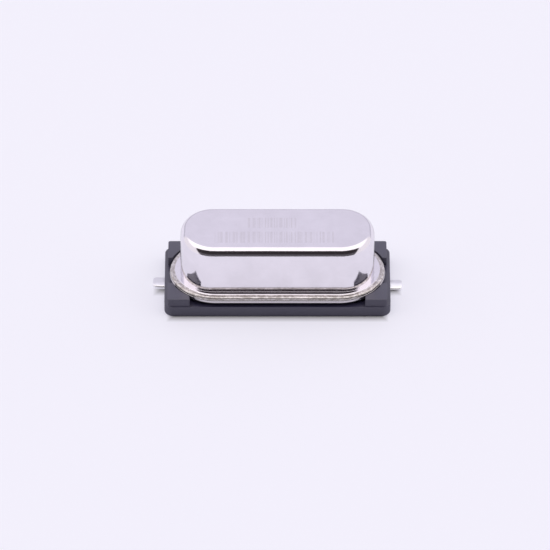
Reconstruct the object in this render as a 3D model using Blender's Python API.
"""Two-lead quartz crystal unit in a low welded can, on its surface-mount base.

Metres, +Z up. The origin is on the board the unit is soldered to, under the middle of the can.
+X runs from lead to lead. The header, the weld flange and the seat are stadiums, a straight run
with a half circle at each end, about the same two arc centres. The drawn can above the flange is
a little squarer: its ends are two quarter rounds with a short flat between them.
"""
import math

import bmesh
import bpy

MM = 0.001

# Clearances between pieces that touch on the real unit.
GAP = 0.02 * MM
SEAM = 0.012 * MM

# Stadium outlines: the arc centres stand this far out along X.
ARC_CENTRE_X = 3.09 * MM
ARC_STEPS = 18

# Drawn can. Its corners are centred further out than the flange's arcs, by these two steps.
CAN_TOP_Z = 3.82 * MM
CAN_RADIUS = 1.87 * MM
CAN_CORNER_OUT_X = 0.15 * MM
CAN_CORNER_OUT_Y = 0.22 * MM
CAN_SHEET = 0.20 * MM
CAN_TOP_ROUND = 0.43 * MM
CAN_SHOULDER_ROUND = 0.71 * MM
CAN_SHOULDER_LEAN = 42.0
CAN_FOOT_FILLET = 0.08 * MM
CAN_FOOT_Z = 1.22 * MM
FOOT_RING_RADIUS = 2.06 * MM

# Weld flange: the can's rim lies on the header's rim.
FLANGE_RADIUS = 2.33 * MM
FLANGE_BOTTOM_Z = 0.80 * MM
SEAM_Z = 1.03 * MM
FLANGE_TOP_Z = 1.175 * MM
FLANGE_SLOPE = 0.045 * MM
FLANGE_EDGE_ROUND = 0.06 * MM

# Header platform with its two eyelets.
PLATFORM_TOP_Z = 1.45 * MM
PLATFORM_RADIUS = 1.50 * MM
HEADER_SHEET = 0.22 * MM
EYELET_RADIUS = 0.64 * MM
EYELET_WALL = 0.16 * MM
EYELET_BOTTOM_Z = 0.86 * MM

# Leads.
LEAD_PITCH = 4.88 * MM
WIRE_RADIUS = 0.215 * MM
HEAD_RADIUS = 0.45 * MM
HEAD_BOTTOM_Z = 1.76 * MM
HEAD_TOP_Z = 1.90 * MM
BEND_RADIUS = 0.40 * MM
FOOT_WIDTH = 0.72 * MM
FOOT_THICKNESS = 0.20 * MM
FOOT_TIP_X = 6.30 * MM
FOOT_CORNER = 0.16 * MM
LEFT_FOOT_TURN = math.radians(-3.1)

# Moulded base.
BASE_LENGTH = 11.40 * MM
BASE_DEPTH = 4.80 * MM
BASE_CORNER = 0.45 * MM
LEDGE_Z = 0.62 * MM
POST_TOP_Z = 1.08 * MM
POST_END_STEP = 0.16 * MM
POST_SIDE_STEP = 0.04 * MM
POST_INNER_X = 4.42 * MM
POST_INNER_Y = 1.00 * MM
FLANGE_CLEARANCE = 0.11 * MM
SEAT_RADIUS = 1.62 * MM
LEAD_HOLE_RADIUS = 0.40 * MM
FOOT_GROOVE_WIDTH = 1.20 * MM
FOOT_GROOVE_HEIGHT = 0.24 * MM

# Quartz blank, standing on its long edge in the two forked clips.
BLANK_LENGTH = 8.30 * MM
BLANK_THICKNESS = 0.15 * MM
BLANK_HEIGHT = 1.30 * MM
BLANK_BOTTOM_Z = 2.15 * MM
CLIP_SHEET = 0.10 * MM
CLIP_WIDTH = 1.10 * MM
CLIP_INNER_X = 2.05 * MM
CLIP_OUTER_X = 4.05 * MM
CLIP_TOP_Z = 3.15 * MM
ELECTRODE_THICKNESS = 0.02 * MM
ELECTRODE_LENGTH = 3.60 * MM
ELECTRODE_HEIGHT = 0.96 * MM
TAIL_HEIGHT = 0.36 * MM
TAIL_END_X = 3.88 * MM
DAB_SIZE = (0.32 * MM, 0.30 * MM, 0.50 * MM)


def clear_scene():
    """Start from an empty scene."""
    for item in list(bpy.data.objects):
        bpy.data.objects.remove(item, do_unlink=True)


def material(name, colour, roughness, metallic, transmission=0.0):
    """One Principled material."""
    made = bpy.data.materials.new(name)
    made.use_nodes = True
    shader = made.node_tree.nodes["Principled BSDF"]
    shader.inputs["Base Color"].default_value = (*colour, 1.0)
    shader.inputs["Roughness"].default_value = roughness
    shader.inputs["Metallic"].default_value = metallic
    shader.inputs["Transmission Weight"].default_value = transmission
    made.diffuse_color = (*colour, 1.0)
    return made


def finish(name, bm, finish_material, smooth_angle=35.0):
    """Turn a bmesh into a named object of one closed body, with its faces pointing out."""
    bmesh.ops.remove_doubles(bm, verts=bm.verts, dist=1e-8)
    bmesh.ops.recalc_face_normals(bm, faces=bm.faces)
    mesh = bpy.data.meshes.new(name)
    bm.to_mesh(mesh)
    bm.free()
    mesh.shade_smooth()
    mesh.set_sharp_from_angle(angle=math.radians(smooth_angle))
    mesh.materials.append(finish_material)
    made = bpy.data.objects.new(name, mesh)
    bpy.context.scene.collection.objects.link(made)
    return made


def cutter(name, bm):
    """A closed shape that only cuts or joins others."""
    made = finish(name, bm, PLASTIC)
    made.hide_render = True
    made.display_type = "WIRE"
    return made


def boolean(target, tool, operation):
    """Cut or join with the exact solver."""
    step = target.modifiers.new(f"{operation.lower()}_{tool.name}", "BOOLEAN")
    step.operation = operation
    step.solver = "EXACT"
    step.object = tool


def ring_points(radius, z, square=0.0):
    """A stadium outline, counter-clockwise from above, its corners moved out in full at square 1."""
    out_x = CAN_CORNER_OUT_X * square
    out_y = CAN_CORNER_OUT_Y * square
    points = []
    for side, start in ((1.0, -math.pi / 2), (-1.0, math.pi / 2)):
        for step in range(ARC_STEPS + 1):
            angle = start + math.pi * step / ARC_STEPS
            x = side * (ARC_CENTRE_X + out_x) + (radius - out_y) * math.cos(angle)
            y = (radius - out_y) * math.sin(angle)
            if 2 * step != ARC_STEPS:
                y += math.copysign(out_y, y)
            points.append((x, y, z))
    return points


def skin(outlines):
    """Join a chain of closed outlines with strips of quads, and cap the first and the last one."""
    bm = bmesh.new()
    rows = [[bm.verts.new(point) for point in outline] for outline in outlines]
    for lower, upper in zip(rows, rows[1:]):
        for i in range(len(lower)):
            bm.faces.new((lower[i - 1], lower[i], upper[i], upper[i - 1]))
    bm.faces.new(rows[0])
    bm.faces.new(rows[-1])
    return bm


def stadium_body(profile):
    """The body whose surface follows (radius, z) points, from one cap to the other."""
    return skin([ring_points(radius, z) for radius, z in profile])


def can_body(profile):
    """A body whose rings are stadiums at the flange and squarer rings at the can's wall."""
    outlines = []
    for radius, z in profile:
        square = (FOOT_RING_RADIUS - radius) / (FOOT_RING_RADIUS - CAN_RADIUS)
        outlines.append(ring_points(radius, z, max(0.0, min(1.0, square))))
    return skin(outlines)


def arc(centre, radius, start, end, steps):
    """Points of a circular arc in (radius, z), angles in degrees."""
    points = []
    for step in range(steps + 1):
        angle = math.radians(start + (end - start) * step / steps)
        points.append((centre[0] + radius * math.cos(angle), centre[1] + radius * math.sin(angle)))
    return points


def block(low, high, upright_round=0.0, round_steps=4, edge_round=0.0):
    """A box between two corners, with its upright edges rounded and its other edges broken."""
    bm = bmesh.new()
    bmesh.ops.create_cube(bm, size=1.0)
    for vert in bm.verts:
        for axis in range(3):
            vert.co[axis] = high[axis] if vert.co[axis] > 0 else low[axis]
    if upright_round:
        uprights = [e for e in bm.edges if abs(e.verts[0].co.z - e.verts[1].co.z) > 1e-9]
        bmesh.ops.bevel(bm, geom=uprights, offset=upright_round, segments=round_steps,
                        profile=0.5, affect="EDGES")
    if edge_round:
        bmesh.ops.bevel(bm, geom=list(bm.edges), offset=edge_round, segments=2,
                        profile=0.5, affect="EDGES")
    return bm


def cylinder(x, radius, low_z, high_z, sides=24):
    """An upright cylinder on the X axis."""
    bm = bmesh.new()
    bmesh.ops.create_cone(bm, cap_ends=True, segments=sides, radius1=radius, radius2=radius,
                          depth=high_z - low_z)
    bmesh.ops.translate(bm, verts=bm.verts, vec=(x, 0.0, (low_z + high_z) / 2))
    return bm


def make_can():
    """Drawn cap: flat top, round shoulder, straight wall, foot turned out into the weld rim."""
    inner = CAN_RADIUS - CAN_SHEET
    lean = math.radians(CAN_SHOULDER_LEAN)
    step_in = CAN_SHOULDER_ROUND - CAN_TOP_ROUND
    low_centre = (CAN_RADIUS - CAN_SHOULDER_ROUND,
                  CAN_TOP_Z - CAN_TOP_ROUND - step_in * math.sin(lean))
    top_centre = (low_centre[0] + step_in * math.cos(lean), CAN_TOP_Z - CAN_TOP_ROUND)
    under_fillet = CAN_FOOT_FILLET + CAN_SHEET
    edge = FLANGE_EDGE_ROUND
    fillet = CAN_FOOT_FILLET
    profile = arc(top_centre, CAN_TOP_ROUND - CAN_SHEET, 90, CAN_SHOULDER_LEAN, 2)
    profile += arc(low_centre, CAN_SHOULDER_ROUND - CAN_SHEET, CAN_SHOULDER_LEAN, 0, 3)[1:]
    profile += arc((inner + under_fillet, SEAM_Z + under_fillet), under_fillet, 180, 270, 5)
    profile += arc((FLANGE_RADIUS - edge, SEAM_Z + edge), edge, 270, 360, 2)
    profile += arc((FLANGE_RADIUS - edge, FLANGE_TOP_Z - edge), edge, 0, 90, 2)
    profile.append((FOOT_RING_RADIUS + FLANGE_SLOPE, FLANGE_TOP_Z))
    profile.append((FOOT_RING_RADIUS, CAN_FOOT_Z))
    profile += arc((CAN_RADIUS + fillet, CAN_FOOT_Z + fillet), fillet, 270, 180, 3)
    profile += arc(low_centre, CAN_SHOULDER_ROUND, 0, CAN_SHOULDER_LEAN, 4)
    profile += arc(top_centre, CAN_TOP_ROUND, CAN_SHOULDER_LEAN, 90, 4)[1:]
    return finish("can", can_body(profile), NICKEL)


def make_header():
    """Stamped plate: weld rim, platform raised into the can, eyelets for the glass seals."""
    top = SEAM_Z - SEAM
    recess_radius = PLATFORM_RADIUS - HEADER_SHEET
    recess_z = PLATFORM_TOP_Z - HEADER_SHEET
    corner = 0.12 * MM
    edge = FLANGE_EDGE_ROUND
    profile = [(recess_radius, recess_z), (recess_radius, FLANGE_BOTTOM_Z)]
    profile += arc((FLANGE_RADIUS - edge, FLANGE_BOTTOM_Z + edge), edge, 270, 360, 2)
    profile += arc((FLANGE_RADIUS - edge, top - edge), edge, 0, 90, 2)
    profile.append((PLATFORM_RADIUS, top))
    profile += arc((PLATFORM_RADIUS - corner, PLATFORM_TOP_Z - corner), corner, 0, 90, 3)
    header = finish("header", stadium_body(profile), NICKEL_DULL)
    for side, word in ((-1, "left"), (1, "right")):
        x = side * LEAD_PITCH / 2
        collar_top = (recess_z + PLATFORM_TOP_Z) / 2
        collar = cylinder(x, EYELET_RADIUS + EYELET_WALL, EYELET_BOTTOM_Z, collar_top)
        boolean(header, cutter(f"eyelet_collar_{word}", collar), "UNION")
        bore = cylinder(x, EYELET_RADIUS, 0.0, CAN_TOP_Z)
        boolean(header, cutter(f"eyelet_bore_{word}", bore), "DIFFERENCE")
    return header


def make_glass_seal(word, side):
    """Glass bead between the eyelet and the wire, its two ends dished by the melt."""
    outer = EYELET_RADIUS - SEAM
    inner = WIRE_RADIUS + SEAM
    middle = (outer + inner) / 2
    dish = 0.04 * MM
    low = EYELET_BOTTOM_Z
    high = PLATFORM_TOP_Z
    profile = [(inner, low), (middle, low + dish), (outer, low)]
    profile += [(outer, high), (middle, high - dish), (inner, high)]
    bm = bmesh.new()
    verts = [bm.verts.new((radius, 0.0, z)) for radius, z in profile]
    edges = [bm.edges.new((verts[i - 1], verts[i])) for i in range(len(verts))]
    bmesh.ops.spin(bm, geom=verts + edges, cent=(0, 0, 0), axis=(0, 0, 1),
                   angle=2 * math.pi, steps=24, use_merge=True)
    seal = finish(f"glass_seal_{word}", bm, GLASS)
    seal.location.x = side * LEAD_PITCH / 2
    return seal


def section(centre, tangent_angle, width, thickness, corner, points_per_corner=3):
    """A rounded rectangle across a path in the XZ plane, whose tangent leans from -Z to +X."""
    normal = (math.cos(tangent_angle), math.sin(tangent_angle))
    outline = []
    half_width = width / 2 - corner
    half_thickness = thickness / 2 - corner
    for quarter in range(4):
        sign_y = 1 if quarter in (0, 3) else -1
        sign_n = 1 if quarter in (0, 1) else -1
        for step in range(points_per_corner + 1):
            angle = math.pi / 2 * (quarter + step / points_per_corner)
            y = sign_y * half_width + corner * math.cos(angle)
            n = sign_n * half_thickness + corner * math.sin(angle)
            outline.append((centre[0] + n * normal[0], y, centre[1] + n * normal[1]))
    return outline


def make_lead(word, angle, side):
    """Nail-head wire, bent outward under the base and coined flat into a solder foot."""
    outlines = []
    wire = 2 * WIRE_RADIUS
    nearly = 0.999
    for radius, z in ((HEAD_RADIUS, HEAD_TOP_Z), (HEAD_RADIUS, HEAD_BOTTOM_Z),
                      (WIRE_RADIUS, HEAD_BOTTOM_Z - GAP)):
        outlines.append(section((0.0, z), 0.0, 2 * radius, 2 * radius, radius * nearly))
    turn_z = FOOT_THICKNESS / 2 + BEND_RADIUS
    bend_steps = 6
    coined_at = 0.83
    for step in range(bend_steps + 1):
        turned = step / bend_steps
        lean = math.pi / 2 * turned
        pressed = min(turned / coined_at, 1.0)
        thickness = wire + (FOOT_THICKNESS - wire) * pressed
        width = wire + (FOOT_WIDTH - wire) * pressed ** 2
        corner = thickness / 2 * (nearly - 0.35 * pressed)
        x = BEND_RADIUS * (1 - math.cos(lean))
        z = turn_z - BEND_RADIUS * math.sin(lean)
        outlines.append(section((x, z), lean, width, thickness, corner))
    tip = FOOT_TIP_X - LEAD_PITCH / 2
    corner = FOOT_THICKNESS / 2 * (nearly - 0.35)
    tip_steps = 3
    for step in range(tip_steps + 1):
        swing = math.pi / 2 * step / tip_steps
        x = tip - FOOT_CORNER * (1 - math.sin(swing))
        width = FOOT_WIDTH - 2 * FOOT_CORNER * (1 - math.cos(swing))
        outlines.append(section((x, FOOT_THICKNESS / 2), math.pi / 2, width, FOOT_THICKNESS, corner))
    lead = finish(f"lead_{word}", skin(outlines), TIN)
    lead.location.x = side * LEAD_PITCH / 2
    lead.rotation_euler.z = angle
    return lead


def make_base():
    """Moulded plate with a corner post at each corner, a seat, lead holes and foot grooves."""
    half_x = BASE_LENGTH / 2
    half_y = BASE_DEPTH / 2
    overlap = 0.10 * MM
    beyond = 1.0 * MM
    plate = block((-half_x, -half_y, 0.0), (half_x, half_y, LEDGE_Z), BASE_CORNER, 5)
    base = finish("insulator_base", plate, PLASTIC)
    post_x = half_x - POST_END_STEP
    post_y = half_y - POST_SIDE_STEP
    posts = cutter("post_block", block((-post_x, -post_y, LEDGE_Z - overlap),
                                       (post_x, post_y, POST_TOP_Z), 0.12 * MM, 2))
    boolean(base, posts, "UNION")
    pocket_radius = FLANGE_RADIUS + FLANGE_CLEARANCE
    pocket = stadium_body([(pocket_radius, LEDGE_Z), (pocket_radius, POST_TOP_Z + beyond)])
    boolean(base, cutter("flange_pocket", pocket), "DIFFERENCE")
    side_gap = block((-POST_INNER_X, -half_y - beyond, LEDGE_Z),
                     (POST_INNER_X, half_y + beyond, POST_TOP_Z + beyond))
    boolean(base, cutter("side_gap", side_gap), "DIFFERENCE")
    end_gap = block((-half_x - beyond, -POST_INNER_Y, LEDGE_Z),
                    (half_x + beyond, POST_INNER_Y, POST_TOP_Z + beyond))
    boolean(base, cutter("end_gap", end_gap), "DIFFERENCE")
    seat_top = FLANGE_BOTTOM_Z - GAP
    seat = stadium_body([(SEAT_RADIUS, LEDGE_Z - overlap), (SEAT_RADIUS, seat_top)])
    boolean(base, cutter("seat", seat), "UNION")
    for side, word in ((-1, "left"), (1, "right")):
        hole = cylinder(side * LEAD_PITCH / 2, LEAD_HOLE_RADIUS, -beyond, beyond)
        boolean(base, cutter(f"lead_hole_{word}", hole), "DIFFERENCE")
        ends = sorted((side * (LEAD_PITCH / 2 - LEAD_HOLE_RADIUS), side * (half_x + beyond)))
        groove = block((ends[0], -FOOT_GROOVE_WIDTH / 2, -beyond),
                       (ends[1], FOOT_GROOVE_WIDTH / 2, FOOT_GROOVE_HEIGHT))
        boolean(base, cutter(f"foot_groove_{word}", groove), "DIFFERENCE")
    return base


def make_spring_clip(word, side):
    """Strip welded on the nail head, turned up into a fork that grips the end of the blank."""
    bottom = HEAD_TOP_Z + GAP
    half = CLIP_WIDTH / 2
    inner, outer = CLIP_INNER_X, CLIP_OUTER_X
    profile = [(inner, bottom), (outer, bottom), (outer, CLIP_TOP_Z),
               (outer - CLIP_SHEET, CLIP_TOP_Z), (outer - CLIP_SHEET, bottom + CLIP_SHEET),
               (inner, bottom + CLIP_SHEET)]
    bm = skin([[(x, -half, z) for x, z in profile], [(x, half, z) for x, z in profile]])
    clip = finish(f"spring_clip_{word}", bm, SPRING)
    slot_half = BLANK_THICKNESS / 2 + GAP
    slot = block((outer - 2 * CLIP_SHEET, -slot_half, BLANK_BOTTOM_Z - GAP),
                 (outer + CLIP_SHEET, slot_half, CAN_TOP_Z))
    slot_tool = cutter(f"clip_slot_{word}", slot)
    turn = 0.0 if side > 0 else math.pi
    slot_tool.rotation_euler.z = turn
    clip.rotation_euler.z = turn
    boolean(clip, slot_tool, "DIFFERENCE")
    return clip


def make_blank():
    """Rectangular quartz strip with its edges broken."""
    half_x = BLANK_LENGTH / 2
    half_y = BLANK_THICKNESS / 2
    bm = block((-half_x, -half_y, BLANK_BOTTOM_Z), (half_x, half_y, BLANK_BOTTOM_Z + BLANK_HEIGHT),
               edge_round=0.02 * MM)
    return finish("quartz_blank", bm, QUARTZ, smooth_angle=20.0)


def make_electrode(word, face, tail_side):
    """Silver film on one face of the blank, with a tail that runs to one clip."""
    middle = BLANK_BOTTOM_Z + BLANK_HEIGHT / 2
    half_x = ELECTRODE_LENGTH / 2
    half_z = ELECTRODE_HEIGHT / 2
    half_tail = TAIL_HEIGHT / 2
    outline = [(-half_x, -half_z), (half_x, -half_z), (half_x, -half_tail), (TAIL_END_X, -half_tail),
               (TAIL_END_X, half_tail), (half_x, half_tail), (half_x, half_z), (-half_x, half_z)]
    near = BLANK_THICKNESS / 2 + SEAM
    far = near + ELECTRODE_THICKNESS
    layers = [[(tail_side * x, face * y, middle + z) for x, z in outline] for y in (near, far)]
    return finish(f"electrode_{word}", skin(layers), SILVER)


def make_adhesive(word, side, face):
    """Dab of conductive adhesive in the corner between the electrode's tail and the fork."""
    size_x, size_y, size_z = DAB_SIZE
    x = CLIP_OUTER_X - CLIP_SHEET - GAP - size_x / 2
    y = BLANK_THICKNESS / 2 + SEAM + ELECTRODE_THICKNESS + GAP + size_y / 2
    bm = block((-size_x / 2, -size_y / 2, -size_z / 2), (size_x / 2, size_y / 2, size_z / 2),
               edge_round=0.08 * MM)
    dab = finish(f"adhesive_{word}", bm, ADHESIVE, smooth_angle=80.0)
    dab.location = (side * x, face * y, BLANK_BOTTOM_Z + BLANK_HEIGHT / 2)
    return dab


clear_scene()

NICKEL = material("nickel_plate", (0.72, 0.69, 0.72), 0.22, 1.0)
NICKEL_DULL = material("nickel_plate_dull", (0.62, 0.60, 0.62), 0.35, 1.0)
TIN = material("tinned_lead", (0.80, 0.79, 0.80), 0.30, 1.0)
PLASTIC = material("black_plastic", (0.035, 0.034, 0.045), 0.45, 0.0)
GLASS = material("seal_glass", (0.20, 0.28, 0.24), 0.08, 0.0, 0.6)
SPRING = material("spring_alloy", (0.66, 0.62, 0.56), 0.35, 1.0)
QUARTZ = material("quartz", (0.88, 0.92, 0.94), 0.10, 0.0, 0.9)
SILVER = material("silver_film", (0.85, 0.84, 0.82), 0.20, 1.0)
ADHESIVE = material("silver_adhesive", (0.42, 0.41, 0.40), 0.60, 0.3)

make_can()
make_header()
make_base()
make_blank()
for side_word, side_sign, foot_angle, face_word, face_sign in (
        ("left", -1, math.pi + LEFT_FOOT_TURN, "front", -1),
        ("right", 1, 0.0, "rear", 1)):
    make_glass_seal(side_word, side_sign)
    make_lead(side_word, foot_angle, side_sign)
    make_spring_clip(side_word, side_sign)
    make_electrode(face_word, face_sign, side_sign)
    make_adhesive(side_word, side_sign, face_sign)
